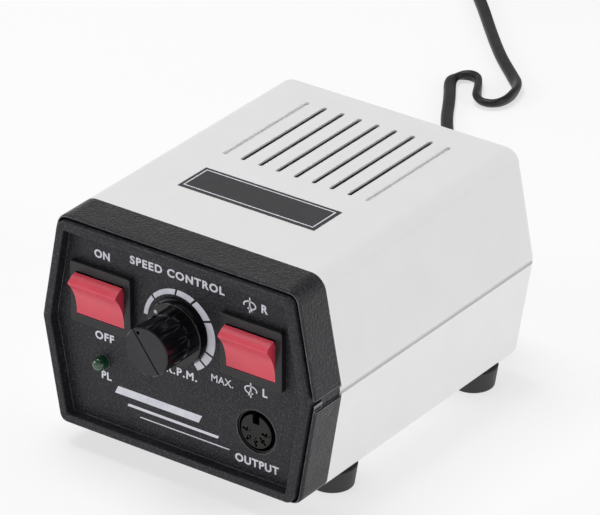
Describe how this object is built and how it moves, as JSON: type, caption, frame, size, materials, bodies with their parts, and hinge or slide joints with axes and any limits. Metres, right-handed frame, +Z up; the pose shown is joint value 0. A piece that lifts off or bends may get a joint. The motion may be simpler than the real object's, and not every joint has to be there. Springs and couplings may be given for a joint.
{
  "type": "bench control unit for a flexible-drive rotary tool",
  "caption": "Moulded bench box that powers a rotary tool's handpiece, with rocker switches, a speed knob, a pilot lamp, an output socket and a coiled mains lead.",
  "frame": {"origin": "on the table, under the middle of the unit measured without its lead", "axes": "+Z up, panel facing -Y, +X the user's right, longest side along Y"},
  "size_m": [0.2125, 0.4649, 0.0836],
  "materials": {
    "case_white": "fine moulded texture",
    "bezel_black": "coarse moulded texture",
    "panel_grey": "fine satin texture",
    "plate_grey": "satin",
    "foot_rubber": "matt",
    "zinc_steel": "zinc plated",
    "nickel": "nickel plated",
    "aluminium": "bare",
    "tinned_brass": "tinned",
    "knob_black": "gloss",
    "knob_grey": "satin",
    "led_green": "tinted epoxy",
    "socket_black": "satin",
    "core_steel": "varnished laminations",
    "bobbin_nylon": "natural nylon",
    "winding_tape": "yellow tape",
    "board_green": "solder mask",
    "capacitor_sleeve": "shrink sleeve",
    "component_black": "moulded epoxy",
    "fitting_black": "semi-gloss",
    "fuse_glass": "clear",
    "cord_black": "soft PVC",
    "tie_black": "hook-and-loop",
    "switch_grey": "satin",
    "rocker_red": "semi-gloss"
  },
  "bodies": {
    "chassis": {"upper_cover": "case_white", "lower_case": "case_white", "front_bezel": "bezel_black", "front_panel": "panel_grey", "nameplate": "plate_grey", "rubber_feet": "foot_rubber", "case_screws": "zinc_steel", "potentiometer_body": "zinc_steel", "potentiometer_bushing": "nickel", "potentiometer_nut": "nickel", "potentiometer_terminals": "tinned_brass", "pilot_led": "led_green", "led_leads": "tinned_brass", "socket_shell": "socket_black", "socket_insert": "socket_black", "socket_contacts": "tinned_brass", "socket_screws": "zinc_steel", "transformer_core": "core_steel", "transformer_bobbin": "bobbin_nylon", "primary_winding": "winding_tape", "secondary_winding": "winding_tape", "transformer_bracket": "zinc_steel", "transformer_screws": "zinc_steel", "circuit_board": "board_green", "board_screws": "zinc_steel", "filter_capacitors": "capacitor_sleeve", "bridge_rectifier": "component_black", "heat_sink": "aluminium", "power_transistor": "component_black", "wire_connectors": "bobbin_nylon", "fuse_holder": "fitting_black", "fuse_holder_nut": "nickel", "foot_switch_jack": "fitting_black", "jack_nut": "nickel", "jack_contacts": "tinned_brass", "strain_relief": "cord_black", "mains_cord": "cord_black", "mains_cord_coil": "cord_black", "cord_tie": "tie_black", "mains_plug": "cord_black", "plug_pins": "nickel", "power_switch_housing": "switch_grey", "direction_switch_housing": "switch_grey", "power_switch_terminals": "tinned_brass", "direction_switch_terminals": "tinned_brass"},
    "speed_knob": {"speed_knob": "knob_black", "knob_cap": "knob_grey", "knob_set_screw": "zinc_steel", "potentiometer_shaft": "aluminium"},
    "power_rocker": {"power_rocker": "rocker_red"},
    "direction_rocker": {"direction_rocker": "rocker_red"},
    "fuse_carrier": {"fuse_carrier": "fitting_black", "glass_fuse": "fuse_glass", "fuse_end_caps": "nickel"},
    "fuse_cap": {"fuse_cap": "fitting_black"}
  },
  "joints": [
    {"name": "speed_knob_turn", "type": "hinge", "parent": "chassis", "child": "speed_knob", "pos_m": [-0.0003, -0.0587, 0.0544], "axis": [0, 1, 0], "range_deg": [-113, 187]},
    {"name": "power_rocker_tip", "type": "hinge", "parent": "chassis", "child": "power_rocker", "pos_m": [-0.0301, -0.0596, 0.05695], "axis": [-1, 0, 0], "range_deg": [0, 39.8]},
    {"name": "direction_rocker_tip", "type": "hinge", "parent": "chassis", "child": "direction_rocker", "pos_m": [0.0292, -0.0596, 0.05695], "axis": [-1, 0, 0], "range_deg": [0, 39.8]},
    {"name": "fuse_carrier_pull", "type": "slide", "parent": "chassis", "child": "fuse_carrier", "axis": [0, 1, 0], "range_m": [0, 0.02]},
    {"name": "fuse_cap_turn", "type": "hinge", "parent": "fuse_carrier", "child": "fuse_cap", "pos_m": [0.028, 0.0635, 0.03], "axis": [0, 1, 0], "range_deg": [0, 45]}
  ]
}
